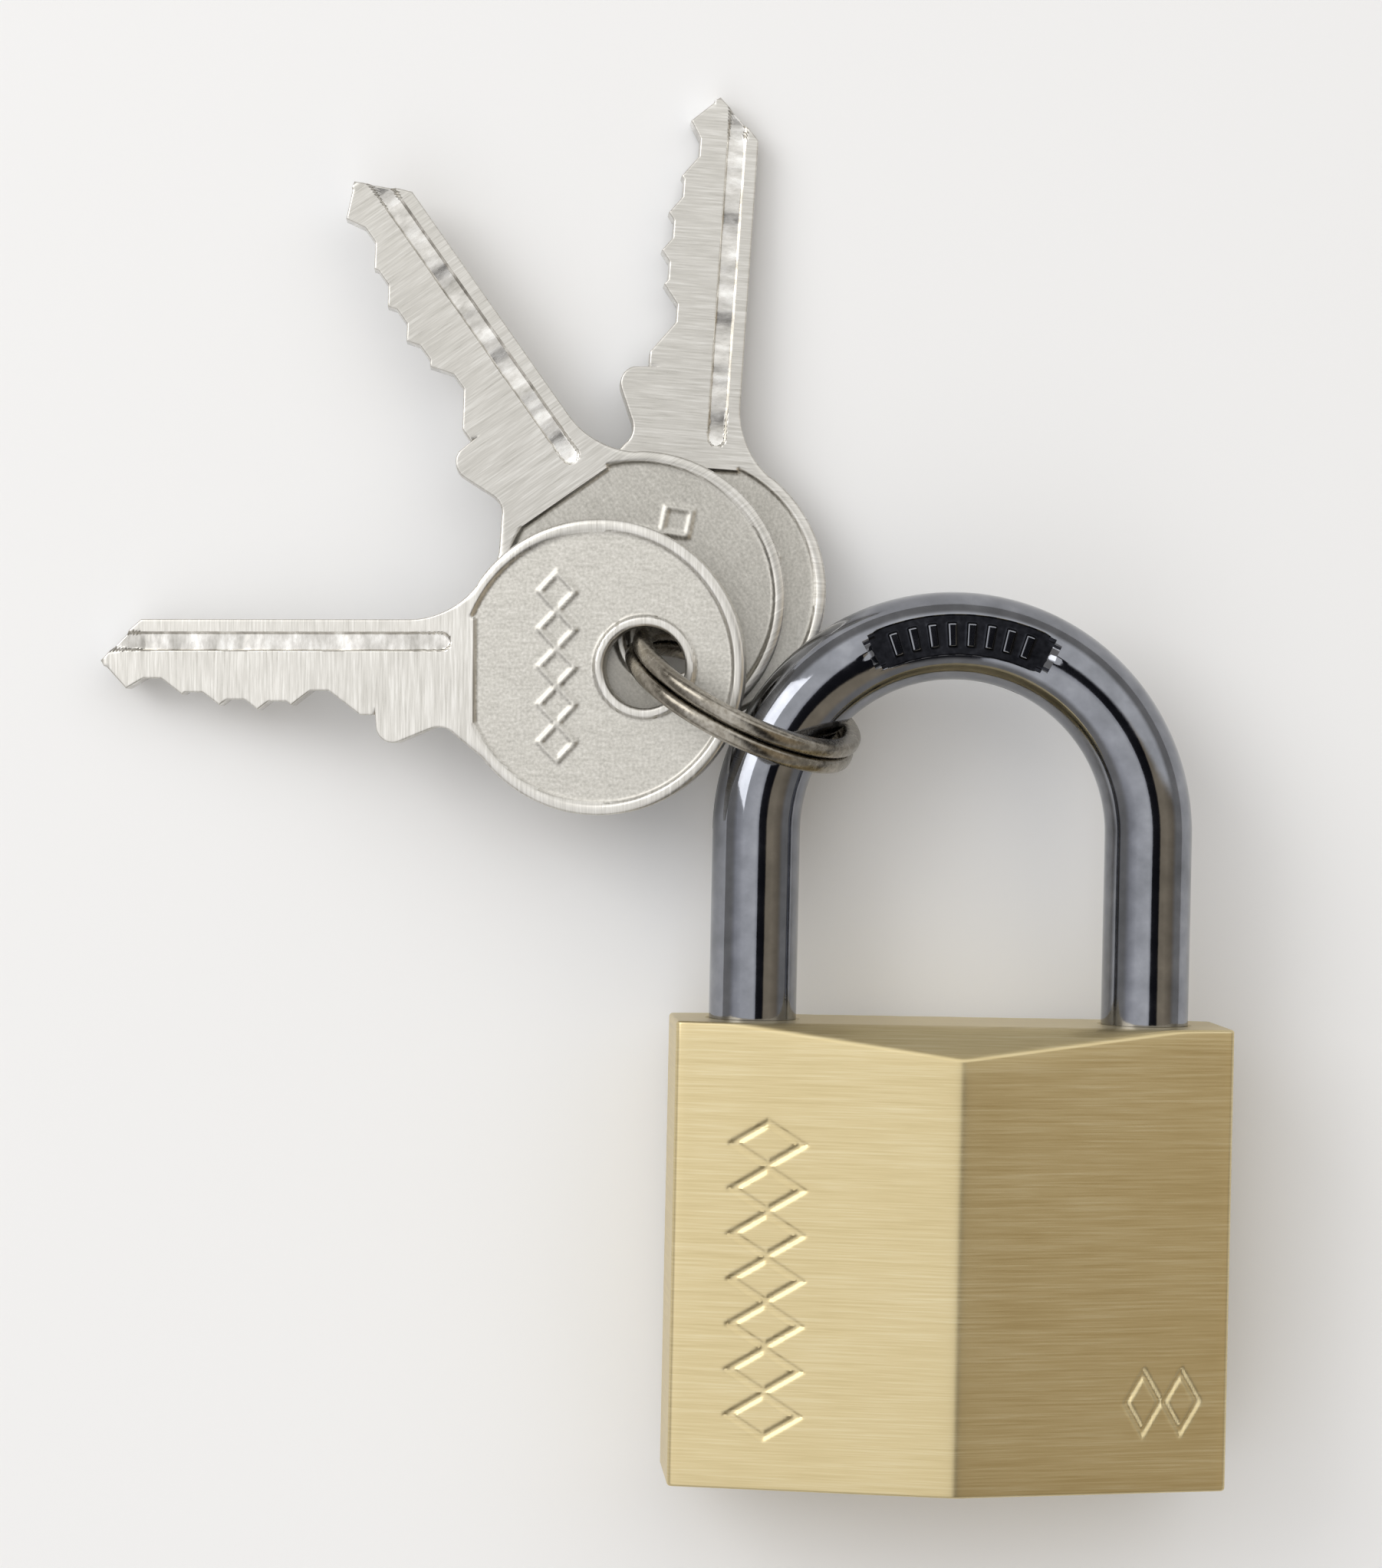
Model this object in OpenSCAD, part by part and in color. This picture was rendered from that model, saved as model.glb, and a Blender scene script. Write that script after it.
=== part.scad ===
// Forty-millimetre padlock with a round shackle, a five-pin lock and three keys on a split ring.
// The lock lies on its back: +X runs across its front, +Y towards the shackle, +Z out of its front ridge.
// The origin is on the axis of the plug, in the face that the key goes into.

/* [Body] */
// Width of the body across its two side faces
body_w = 40; // [38:0.5:48]
// Height of the body from the key face to the face the shackle enters
body_h = 33; // [33:0.5:40]
// Depth of the flat side faces
side_depth = 9.2; // [8.5:0.1:12]
// Depth of the body over its front and back ridges
ridge_depth = 17; // [16:0.5:22]
// Rounding of the front and back ridges
ridge_round = 1.2; // [0.5:0.1:2]
// Rounding of the four upright corners
corner_round = 0.4; // [0.2:0.05:0.8]
// Depth of the flat strip of the top face between its two bevels
top_flat = 10.6; // [9:0.2:13]
// Slope of the two top bevels in degrees
bevel_angle = 34; // [20:1:45]

/* [Shackle] */
// Diameter of the shackle bar
bar_d = 6.3; // [5:0.1:7]
// Distance between the two leg centres
leg_spacing = 28.5; // [26:0.5:32]
// Straight leg showing above the body before the bow starts
leg_rise = 13.6; // [8:0.2:30]
// How far the shackle springs up when it is let go
shackle_lift = 9.8; // [8:0.1:9.8]
// Length of the oblong recess on the crown, measured along the bow
crown_slot_l = 14; // [8:1:20]
// Width of the oblong recess on the crown
crown_slot_w = 3; // [2:0.2:4]
// Number of raised bars standing in the crown recess
crown_bars = 8; // [3:1:12]

/* [Lock] */
// Diameter of the plug that the key turns
plug_d = 10; // [9.6:0.1:11]
// Distance from the key face to the first pin
pin_start = 4.15; // [3.8:0.05:4.5]
// Distance from one pin to the next
pin_pitch = 3.1; // [2.9:0.05:3.2]
// Diameter of the lock pins
pin_d = 2.5; // [2:0.1:2.6]
// Length of the driver pins
driver_l = 4; // [3:0.2:5]
// Radial clearance between moving round parts and their bores
run_gap = 0.05; // [0.02:0.01:0.1]
// Diameter of the two locking bolts
bolt_d = 3.6; // [3:0.1:4]
// How far the bolts reach into the shackle when the plug is turned
bolt_throw = 1.3; // [1:0.1:1.4]

/* [Keys] */
// Diameter of a key's round head
head_d = 21.2; // [19:0.2:23]
// Thickness of a key
key_t = 1.8; // [1.6:0.05:1.9]
// Height of the blade from its back edge to its uncut edge
blade_w = 6.9; // [6.4:0.1:7]
// Length of the blade from its shoulder to its tip
blade_l = 20.4; // [20:0.1:21]
// Diameter of the hole in the head
key_hole_d = 5.9; // [5.7:0.1:6.4]

/* [Split ring] */
// Outside diameter of the split ring
ring_d = 18; // [17:0.2:19]
// Thickness of the ring's wire, measured outwards
wire_t = 1.4; // [1.2:0.1:1.5]
// Width of one turn of the wire, measured along the ring's axis
wire_w = 1.2; // [1.1:0.05:1.25]

/* [Hidden] */
$fn = 64;
// body
half_w = body_w / 2;
side_z = side_depth / 2;
ridge_z = ridge_depth / 2;
// shackle
bar_r = bar_d / 2;
leg_x = leg_spacing / 2;
bow_y = body_h + leg_rise;
leg_bore_r = bar_r + run_gap;
bolt_y = body_h - 5.5;
toe_y = body_h - 9.6;
toe_bore_y = toe_y - 0.4;
neck_top_y = body_h - 8.5;
neck_r = bar_r - 1.2;
foot_h = 1.9;
neck_base_y = neck_top_y - shackle_lift - 1.4;
foot_y = neck_base_y - foot_h;
spring_room = 6;
heel_bore_y = foot_y - spring_room;
stop_pin_r = 0.6;
stop_pin_x = leg_x + neck_r + stop_pin_r + 0.1;
stop_pin_y = neck_top_y - stop_pin_r - 0.05;
stop_pin_top = 2.5;
bolt_gap = 0.25;
notch_depth = bolt_throw - bolt_gap + 0.3;
notch_h = 5;
notch_ramp = 45;
crown_slot_depth = 0.5;
crown_bar_h = 0.22;
// plug and cam
plug_r = plug_d / 2;
plug_l = 22.6;
plug_bore_r = plug_r + run_gap;
keyway_floor = -3.9;
keyway_gap = 0.08;
keyway_l = 20.6;
groove_y = 21.5;
groove_w = 1.2;
groove_deep = 0.8;
plug_pin_r = 0.55;
plug_pin_x = plug_r - groove_deep + plug_pin_r + 0.1;
plug_pin_top = 3;
tail_r = 1.9;
tenon_w = 2.6;
cam_h = 3.8;
cam_y = bolt_y - cam_h / 2;
cam_short = 2.1;
cam_long = cam_short + bolt_throw;
cam_bore_r = cam_long + 0.6;
cam_bore_top = bolt_y + 2.3;
// bolts
bolt_r = bolt_d / 2;
bolt_in = cam_short + bolt_gap;
bolt_out = leg_x - bar_r - bolt_gap;
bolt_bore_r = bolt_r + run_gap + 0.01;
// pins
pin_count = 5;
pin_r = pin_d / 2;
pin_bore_r = pin_r + run_gap;
cut_depths = [5.15, 5.94, 5.82, 5.30, 4.30];
key_pin_top = plug_r - 0.25;
driver_x = plug_r + 0.15;
spring_x = driver_x + driver_l + 0.1;
cap_l = 2.4;
cap_x = half_w - cap_l;
spring_l = cap_x - spring_x - 0.1;
pin_wire = 0.4;
pin_spring_turns = 7;
spring_wire = 0.8;
shackle_spring_turns = 4;
spring_seat = 0.05;
// keys, in the frame of one key: its origin is the hole's centre, +X runs to the tip
head_x = 3.4;
head_r = head_d / 2;
shoulder_x = 19.5;
tip_x = shoulder_x + blade_l;
back_y = -3.4;
land_y = back_y + blade_w;
neck_fillet = 6.2;
weld = 0.05;
neck_x = head_x + sqrt(pow(head_r + neck_fillet - weld, 2) - pow(neck_fillet - back_y, 2));
waist_angle = 44.6;
waist_end_r = head_r - 0.2;
flat_half = 0.65;
flank = 0.75;
rim_w = 1;
field_deep = 0.25;
boss_w = 0.9;
land_end_x = 12.2;
land_corner = 1;
groove_edge = 0.9;
groove_h = 1.4;
key_groove_deep = 0.5;
groove_end_x = 14;
ward_gap = 0.15;
// split ring: it hangs round the bow, and stands on what the body's back ridge lies on
ring_r = (ring_d - wire_t) / 2;
turn_pitch = wire_w + 0.05;
hang_angle = 146.38;
hang_gap = 0.567;
hang_heading = 155.5;
hang_reach = ring_r - wire_t / 2 - bar_r - hang_gap;
ring_rest = 0.14;
ring_heading = -24.5;
ring_lean = 18;
ring_at = [
  leg_x * cos(hang_angle) + hang_reach * cos(hang_heading),
  bow_y + leg_x * sin(hang_angle) + hang_reach * sin(hang_heading),
  ring_d / 2 * cos(ring_lean) + ring_rest - ridge_z
];
bridge_angle = 24;
// where the three keys lie, as [hole centre, heading of the tip, fall towards the tip]
key_gap = 0.25;
key_1_lift = 1.8;
key_2_z = 5.95 - ridge_z;
key_3_z = key_2_z - key_t - key_gap;
key_1_z = key_2_z + key_t + key_1_lift;
key_1_place = [on_ring(-0.8578, 0.2337, key_1_z), 180.9, 11];
key_2_place = [on_ring(-0.6675, 0.5205, key_2_z), 126.1, 3.2];
key_3_place = [on_ring(-0.547, 0.5265, key_3_z), 87, 4.25];

function pin_y(k) = pin_start + (k - 1) * pin_pitch;
function cut_x(k) = keyway_floor + cut_depths[k - 1];
// A place beside the ring, as shares of its radius from its centre, at the height z.
function on_ring(across, along, z) = [ring_at[0] + across * ring_r, ring_at[1] + along * ring_r, z];
function unit(v) = v / norm(v);
function arc(centre, r, from, to, n) =
  [for (i = [0:n]) centre + r * [cos(from + (to - from) * i / n), sin(from + (to - from) * i / n)]];

// Points of the arc that rounds corner b of an outline running a, b, c anticlockwise.
function rounded(a, b, c, r, n) =
  let (u = unit(a - b), v = unit(c - b), half = acos(u * v) / 2)
  let (mid = b + unit(u + v) * r / sin(half), turn = 180 - 2 * half)
  let (first = b + u * r / tan(half) - mid, start = atan2(first[1], first[0]))
  [for (i = [0:n]) mid + r * [cos(start + turn * i / n), sin(start + turn * i / n)]];

module rod_x(r, x0, x1) {
  translate([x0, 0, 0]) rotate([0, 90, 0]) cylinder(r = r, h = x1 - x0);
}

module rod_y(r, y0, y1) {
  translate([0, y0, 0]) rotate([-90, 0, 0]) cylinder(r = r, h = y1 - y0);
}

module rod_z(r, z0, z1) {
  translate([0, 0, z0]) cylinder(r = r, h = z1 - z0);
}

// A coil spring of square wire along +Z: one arc of a ring, drawn out with a twist.
module coil(r, wire, length, turns) {
  arc = min(220, 360 * wire * turns / length);
  outer = r + wire / 2;
  inner = r - wire / 2;
  linear_extrude(height = length, twist = -360 * turns, slices = 12 * turns, $fn = 3)
    polygon(concat(
      [for (i = [0:4]) outer * [cos(arc * i / 4), sin(arc * i / 4)]],
      [for (i = [4:-1:0]) inner * [cos(arc * i / 4), sin(arc * i / 4)]]
    ));
}

// ---------------------------------------------------------------- body
module body_outline() {
  corners = [
    [half_w, -side_z], [half_w, side_z], [0, ridge_z],
    [-half_w, side_z], [-half_w, -side_z], [0, -ridge_z]
  ];
  polygon([
    for (i = [0:5])
      for (p = rounded(corners[(i + 5) % 6], corners[i], corners[(i + 1) % 6],
                       i % 3 == 2 ? ridge_round : corner_round, i % 3 == 2 ? 6 : 5)) p
  ]);
}

module top_bevel() {
  translate([-body_w, body_h, top_flat / 2])
    rotate([bevel_angle, 0, 0])
      cube([2 * body_w, 10, 20]);
}

module lock_body() {
  color("#c9b27a")
  difference() {
    rotate([90, 0, 0])
      translate([0, 0, -body_h])
        linear_extrude(body_h) body_outline();
    top_bevel();
    mirror([0, 0, 1]) top_bevel();
    // plug bore, then the narrower room of the cam
    rod_y(plug_bore_r, -1, plug_l + 0.1);
    rod_y(cam_bore_r, plug_l, cam_bore_top);
    // shackle bores: the toe's on the right, the heel's on the left
    translate([leg_x, 0, 0]) rod_y(leg_bore_r, toe_bore_y, body_h + 1);
    translate([-leg_x, 0, 0]) rod_y(leg_bore_r, heel_bore_y, body_h + 1);
    // bolt bore, drilled from the right side
    translate([0, bolt_y, 0]) rod_x(bolt_bore_r, -leg_x, half_w + 1);
    // pin chambers, drilled from the right side
    for (k = [1:pin_count])
      translate([0, pin_y(k), 0]) rod_x(pin_bore_r, 0, half_w + 1);
    // retaining pins, drilled from the back
    translate([-stop_pin_x, stop_pin_y, 0]) rod_z(stop_pin_r, -ridge_z - 1, stop_pin_top);
    translate([-plug_pin_x, groove_y, 0]) rod_z(plug_pin_r, -ridge_z - 1, plug_pin_top);
  }
}

// Half depth of the body at a distance x from the ridge.
function facet_z(x) = side_z + (ridge_z - side_z) * (1 - abs(x) / half_w);

module chamber_caps() {
  color("#c9b27a")
  for (k = [1:pin_count])
    translate([0, pin_y(k), 0]) rod_x(pin_bore_r, cap_x, half_w);
}

module bolt_bore_cap() {
  color("#c9b27a")
  translate([0, bolt_y, 0]) rod_x(bolt_bore_r, leg_x + leg_bore_r + 0.4, half_w);
}

module plug_retaining_pin() {
  color("#b9bcc0")
  translate([-plug_pin_x, groove_y, 0]) rod_z(plug_pin_r, -facet_z(plug_pin_x) + 0.15, plug_pin_top);
}

module shackle_stop_pin() {
  color("#b9bcc0")
  translate([-stop_pin_x, stop_pin_y, 0]) rod_z(stop_pin_r, -facet_z(stop_pin_x) + 0.15, stop_pin_top);
}

// ---------------------------------------------------------------- plug, cam and bolts
module keyway() {
  slot_t = key_t + 2 * keyway_gap;
  ward_x = keyway_floor + groove_edge + ward_gap;
  difference() {
    translate([keyway_floor - keyway_gap, -1, -slot_t / 2])
      cube([blade_w + 2 * keyway_gap, keyway_l + 1, slot_t]);
    // the ward that fits the groove along the key's face
    translate([ward_x, -2, slot_t / 2 - key_groove_deep + keyway_gap])
      cube([groove_h - 2 * ward_gap, keyway_l + 3, key_groove_deep]);
  }
}

module plug() {
  color("#c2a562")
  difference() {
    union() {
      rod_y(plug_r, 0, plug_l);
      rod_y(tail_r, plug_l - 1, cam_y - 0.2);
      translate([-tenon_w / 2, cam_y - 1, -tenon_w / 2]) cube([tenon_w, cam_h + 0.8, tenon_w]);
    }
    keyway();
    for (k = [1:pin_count])
      translate([0, pin_y(k), 0]) rod_x(pin_bore_r, -0.1, plug_r + 1);
    // groove that the retaining pin runs in
    difference() {
      rod_y(plug_r + 1, groove_y - groove_w / 2, groove_y + groove_w / 2);
      rod_y(plug_r - groove_deep, groove_y - groove_w, groove_y + groove_w);
    }
  }
}

module cam() {
  color("#a8aaad")
  difference() {
    translate([0, cam_y, 0])
      rotate([-90, 0, 0])
        linear_extrude(cam_h)
          polygon([for (a = [0:7.5:352.5]) [cam_short * cos(a), cam_long * sin(a)]]);
    translate([-tenon_w / 2 - 0.02, cam_y - 1, -tenon_w / 2 - 0.02])
      cube([tenon_w + 0.04, cam_h + 2, tenon_w + 0.04]);
  }
}

module bolt() {
  tip_l = 0.5;
  translate([0, bolt_y, 0]) {
    rod_x(bolt_r, bolt_in, bolt_out - tip_l);
    translate([bolt_out - tip_l, 0, 0])
      rotate([0, 90, 0]) cylinder(r1 = bolt_r, r2 = bolt_r - tip_l, h = tip_l);
  }
}

module bolt_right() {
  color("#a8aaad") bolt();
}

module bolt_left() {
  color("#a8aaad") mirror([1, 0, 0]) bolt();
}

// ---------------------------------------------------------------- pins and springs
module key_pin(k) {
  point_l = 0.5;
  color("#c2a562")
  translate([0, pin_y(k), 0]) {
    rod_x(pin_r, cut_x(k) + point_l, key_pin_top);
    translate([cut_x(k), 0, 0])
      rotate([0, 90, 0]) cylinder(r1 = pin_r - point_l, r2 = pin_r, h = point_l);
  }
}

module driver_pin(k) {
  color("#b9bcc0")
  translate([0, pin_y(k), 0]) rod_x(pin_r, driver_x, driver_x + driver_l);
}

module pin_spring(k) {
  color("#9a9ca0")
  translate([spring_x, pin_y(k), 0])
    rotate([0, 90, 0]) coil(pin_r - pin_wire / 2 - 0.1, pin_wire, spring_l, pin_spring_turns);
}

module shackle_spring() {
  spring_r = bar_r - spring_wire / 2 - 0.2;
  color("#9a9ca0")
  translate([-leg_x, heel_bore_y + spring_seat, 0])
    rotate([-90, 0, 0]) coil(spring_r, spring_wire, spring_room - 2 * spring_seat, shackle_spring_turns);
}

// ---------------------------------------------------------------- shackle
// Cut that a bolt enters: square on its upper side, ramped on its lower side.
module bolt_notch() {
  face_x = leg_x - bar_r;
  translate([0, bolt_y - notch_h / 2, -bar_d])
    linear_extrude(2 * bar_d)
      polygon([
        [face_x - 1, -1],
        [face_x, 0],
        [face_x + notch_depth, notch_depth * tan(90 - notch_ramp)],
        [face_x + notch_depth, notch_h],
        [face_x - 1, notch_h]
      ]);
}

module crown_recess() {
  half_turn = (crown_slot_l - crown_slot_w) / 2 / leg_x * 180 / PI;
  floor_z = bar_r - crown_slot_depth;
  rotate([0, 0, 90 - half_turn])
    rotate_extrude(angle = 2 * half_turn)
      translate([leg_x - crown_slot_w / 2, floor_z]) square([crown_slot_w, 1]);
  for (side = [-1, 1])
    rotate([0, 0, 90 + side * half_turn])
      translate([leg_x, 0, floor_z]) cylinder(r = crown_slot_w / 2, h = 1);
}

module crown_relief() {
  step = (crown_slot_l - crown_slot_w) / leg_x * 180 / PI / crown_bars;
  for (i = [0:crown_bars - 1])
    rotate([0, 0, 90 + step * (i - (crown_bars - 1) / 2)])
      translate([leg_x - 0.8, -0.3, bar_r - crown_slot_depth - 0.2])
        cube([1.6, 0.6, crown_bar_h + 0.2]);
}

module shackle() {
  color("#c3c6ca") {
    difference() {
      union() {
        translate([leg_x, 0, 0]) {
          rod_y(bar_r, toe_y + 0.8, bow_y);
          translate([0, toe_y, 0])
            rotate([-90, 0, 0]) cylinder(r1 = bar_r - 0.8, r2 = bar_r, h = 0.8);
        }
        translate([-leg_x, 0, 0]) {
          rod_y(bar_r, neck_top_y, bow_y);
          rod_y(neck_r, neck_base_y - 1, neck_top_y + 1);
          rod_y(bar_r, foot_y, neck_base_y);
        }
        translate([0, bow_y, 0])
          rotate_extrude(angle = 180) translate([leg_x, 0]) circle(r = bar_r);
      }
      bolt_notch();
      mirror([1, 0, 0]) bolt_notch();
      translate([0, bow_y, 0]) crown_recess();
    }
    translate([0, bow_y, 0]) crown_relief();
  }
}

// ---------------------------------------------------------------- keys
// Edge of the blade that lifts the pins: flat-bottomed cuts whose flanks meet in peaks.
function root_y(k) = back_y + cut_depths[k - 1];
function root_x(k) = shoulder_x + pin_y(k);
function peak_x(k) = ((root_y(k + 1) - root_y(k)) / flank + root_x(k) + root_x(k + 1)) / 2;
function peak_y(k) = root_y(k) + flank * (peak_x(k) - root_x(k) - flat_half);

function bitting() = [
  for (k = [1:pin_count])
    each concat(
      [[root_x(k) - flat_half, root_y(k)], [root_x(k) + flat_half, root_y(k)]],
      k < pin_count ? [[peak_x(k), peak_y(k)]] : []
    )
];

// One outline from the head round the tip and back: the neck's curve, the back edge, the tip, the
// bitting, the hooked stop at the shoulder and the waist that runs from it into the head.
module blade_outline() {
  first_rise = (land_y - root_y(1)) / flank;
  cuts = bitting();
  neck_centre = [neck_x, back_y - neck_fillet];
  polygon(concat(
    [[head_x, 0]],
    arc(neck_centre, neck_fillet, atan2(-neck_centre[1], head_x - neck_x), 90, 8),
    [[tip_x - 3, back_y], [tip_x - 2.2, back_y + 0.7], [tip_x, -0.4], [tip_x - 1.9, 1.65]],
    [for (i = [len(cuts) - 1:-1:0]) cuts[i]],
    [[root_x(1) - flat_half - first_rise, land_y], [shoulder_x + 0.05, land_y]],
    arc([shoulder_x - 1.25, 4.2], 1.3, 20, 110, 6),
    arc([shoulder_x - 4.6, 5.85], 1.5, -70, -140, 5),
    [[head_x + waist_end_r * cos(waist_angle), waist_end_r * sin(waist_angle)]]
  ));
}

module head_field() {
  difference() {
    translate([head_x, 0]) circle(r = head_r - rim_w);
    circle(r = key_hole_d / 2 + boss_w);
    polygon([
      [land_end_x + land_corner, -land_y], [head_x + head_r, -land_y], [head_x + head_r, land_y + 1],
      [land_end_x + land_corner, land_y + 1], [land_end_x, land_y], [land_end_x, -land_y + land_corner]
    ]);
  }
}

module key_blank() {
  slot_y = back_y + groove_edge;
  difference() {
    translate([0, 0, -key_t / 2])
      linear_extrude(key_t)
        union() {
          translate([head_x, 0]) circle(r = head_r);
          blade_outline();
        }
    translate([0, 0, -key_t]) cylinder(r = key_hole_d / 2, h = 2 * key_t);
    for (side = [0, 1])
      mirror([0, 0, side])
        translate([0, 0, key_t / 2 - field_deep]) linear_extrude(1) head_field();
    // groove along the upper face of the blade
    translate([groove_end_x, slot_y, key_t / 2 - key_groove_deep])
      cube([tip_x, groove_h, 1]);
  }
}

module key_at(place) {
  color("#b8b9b6")
  translate(place[0])
    rotate([0, 0, place[1]])
      rotate([0, place[2], 0])
        key_blank();
}

// ---------------------------------------------------------------- split ring
module wire_section() {
  half = wire_w / 2;
  flat = wire_t - wire_w;
  translate([ring_r - flat / 2, 0]) circle(r = half, $fn = 24);
  translate([ring_r + flat / 2, 0]) circle(r = half, $fn = 24);
  translate([ring_r - flat / 2, -half]) square([flat, wire_w]);
}

module split_ring() {
  color("#8f8d86")
  translate(ring_at)
    rotate([0, 0, ring_heading])
      rotate([90 + ring_lean, 0, 0]) {
        for (side = [-1, 1])
          translate([0, 0, side * turn_pitch / 2])
            rotate_extrude() wire_section();
        // where one turn crosses over into the other
        rotate([0, 0, -60])
          rotate_extrude(angle = bridge_angle)
            translate([ring_r - wire_t / 4, -turn_pitch / 2]) square([wire_t / 2, turn_pitch]);
      }
}

lock_body();
plug();
cam();
plug_retaining_pin();
key_pin(1);  // key_pin_1
key_pin(2);  // key_pin_2
key_pin(3);  // key_pin_3
key_pin(4);  // key_pin_4
key_pin(5);  // key_pin_5
driver_pin(1);  // driver_pin_1
driver_pin(2);  // driver_pin_2
driver_pin(3);  // driver_pin_3
driver_pin(4);  // driver_pin_4
driver_pin(5);  // driver_pin_5
pin_spring(1);  // pin_spring_1
pin_spring(2);  // pin_spring_2
pin_spring(3);  // pin_spring_3
pin_spring(4);  // pin_spring_4
pin_spring(5);  // pin_spring_5
chamber_caps();
bolt_left();
bolt_right();
bolt_bore_cap();
shackle();
shackle_spring();
shackle_stop_pin();
split_ring();
key_at(key_1_place);  // key_1
key_at(key_2_place);  // key_2
key_at(key_3_place);  // key_3
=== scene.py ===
# %% [markdown]
# # A brass padlock with its keys
# The lock lies on its back on a pale table, shut, with three keys fanned out from a split ring
# that hangs round the shackle. The mechanism comes from the CAD model and is never moved. What
# shows is rebuilt here with softer edges and with real surfaces: brushed brass, chrome, nickel.

# %% Load the frame
import math

import bmesh
import bpy
import numpy as np
from mathutils import Euler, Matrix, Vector


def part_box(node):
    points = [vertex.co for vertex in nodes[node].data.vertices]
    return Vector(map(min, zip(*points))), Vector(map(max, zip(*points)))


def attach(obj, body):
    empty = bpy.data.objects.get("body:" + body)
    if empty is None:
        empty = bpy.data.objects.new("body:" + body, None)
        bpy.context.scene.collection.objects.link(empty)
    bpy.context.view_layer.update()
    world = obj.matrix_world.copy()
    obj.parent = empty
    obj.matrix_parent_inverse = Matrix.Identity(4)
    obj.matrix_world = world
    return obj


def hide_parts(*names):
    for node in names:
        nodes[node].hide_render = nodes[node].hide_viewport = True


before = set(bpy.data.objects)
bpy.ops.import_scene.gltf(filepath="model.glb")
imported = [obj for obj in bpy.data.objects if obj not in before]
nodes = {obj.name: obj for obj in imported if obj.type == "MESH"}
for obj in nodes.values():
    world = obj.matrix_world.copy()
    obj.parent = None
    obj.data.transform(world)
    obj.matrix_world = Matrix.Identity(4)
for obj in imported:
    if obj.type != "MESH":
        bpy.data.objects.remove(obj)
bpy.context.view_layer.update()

MM = 0.001

# %% [markdown]
# ## Camera
# The lock is looked at from almost straight above, from 285 mm up and a little to its left, so
# the left side face just shows and the body's vertical edges lean. A lens of 91 mm on a 36 mm
# sensor gives the same spread. The camera comes first because everything is judged through it.

# %% Camera
camera_place = (-37.0, 51.6, 284.7)
camera_turn = (-0.0078, -0.0629, 0.0209)
camera = bpy.data.objects.new("camera", bpy.data.cameras.new("camera"))
bpy.context.scene.collection.objects.link(camera)
camera.location = Vector(camera_place) * MM
camera.rotation_euler = Euler(camera_turn, "XYZ")
camera.data.sensor_width = 36.0
camera.data.lens = 91.07
camera.data.clip_start = 0.01
camera.data.clip_end = 20.0
bpy.context.scene.camera = camera
print("camera looks along", tuple(round(a, 3) for a in camera.matrix_basis.to_3x3() @ Vector((0, 0, -1))))

# %% [markdown]
# ## Small helpers for surfaces
# Every new shape is a grid of points: rows along a path or a height, columns round a section.
# One function numbers the quads of such a grid, and one turns a few grids into a closed mesh.
# Points are worked out in millimetres and become metres only when they go into the mesh. Each
# grid also carries a flat map, in millimetres, that says which way the metal was brushed.


# %% Grids into pieces
def grid_quads(rows, columns):
    """Quads of a grid numbered row by row: corner, next column, the same two one row on."""
    first = np.arange(rows - 1)[:, None] * columns + np.arange(columns - 1)
    return np.stack([first, first + 1, first + 1 + columns, first + columns], -1).reshape(-1, 4)


def new_object(name, mesh):
    """An object at the origin that shows the mesh."""
    made = bpy.data.objects.new(name, mesh)
    bpy.context.scene.collection.objects.link(made)
    return made


def make_piece(name, grids, sharp=32):
    """One closed piece from grids of (points, map): points that meet are merged, faces are turned
    outwards, and an edge is left sharp where its faces differ by more than the given degrees."""
    points = np.concatenate([g[0].reshape(-1, 3) for g in grids])
    flat_map = np.concatenate([g[1].reshape(-1, 2) for g in grids])
    sizes = [g[0].shape[0] * g[0].shape[1] for g in grids]
    starts = np.concatenate([[0], np.cumsum(sizes)[:-1]])
    quads = np.concatenate([grid_quads(*g[0].shape[:2]) + s for g, s in zip(grids, starts)])
    mesh = bpy.data.meshes.new(name)
    mesh.from_pydata((points * MM).tolist(), [], quads.tolist())
    layer = mesh.uv_layers.new(name="brushing")
    layer.data.foreach_set("uv", flat_map[quads.ravel()].astype(np.float32).ravel())
    close_up(mesh)
    finish_edges(mesh, sharp)
    return new_object(name, mesh)


def close_up(mesh):
    """Merges points closer than a ten-thousandth of a millimetre and turns all faces outwards."""
    work = bmesh.new()
    work.from_mesh(mesh)
    bmesh.ops.remove_doubles(work, verts=work.verts, dist=1e-7)
    bmesh.ops.dissolve_degenerate(work, edges=work.edges, dist=1e-8)
    bmesh.ops.recalc_face_normals(work, faces=work.faces)
    open_edges = sum(1 for e in work.edges if len(e.link_faces) != 2)
    work.to_mesh(mesh)
    work.free()
    print(mesh.name, "faces:", len(mesh.polygons), "open edges:", open_edges)


def finish_edges(mesh, sharp):
    """Smooth shading with an edge kept sharp past the given angle in degrees."""
    mesh.polygons.foreach_set("use_smooth", np.ones(len(mesh.polygons), bool))
    mesh.set_sharp_from_angle(angle=math.radians(sharp))


def smooth_step(low, high, x):
    """0 below low, 1 above high, and the cubic 3t2 - 2t3 between them."""
    t = np.clip((x - low) / (high - low), 0, 1)
    return t * t * (3 - 2 * t)


# %% [markdown]
# ## Colours and nodes
# Colours are written as a painter would read them off a screen, in hex, and one function turns
# them into the linear numbers that the renderer mixes. Another adds a node, sets what is uniform
# straight on its sockets and links the rest, so each material reads as a short list.


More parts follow.
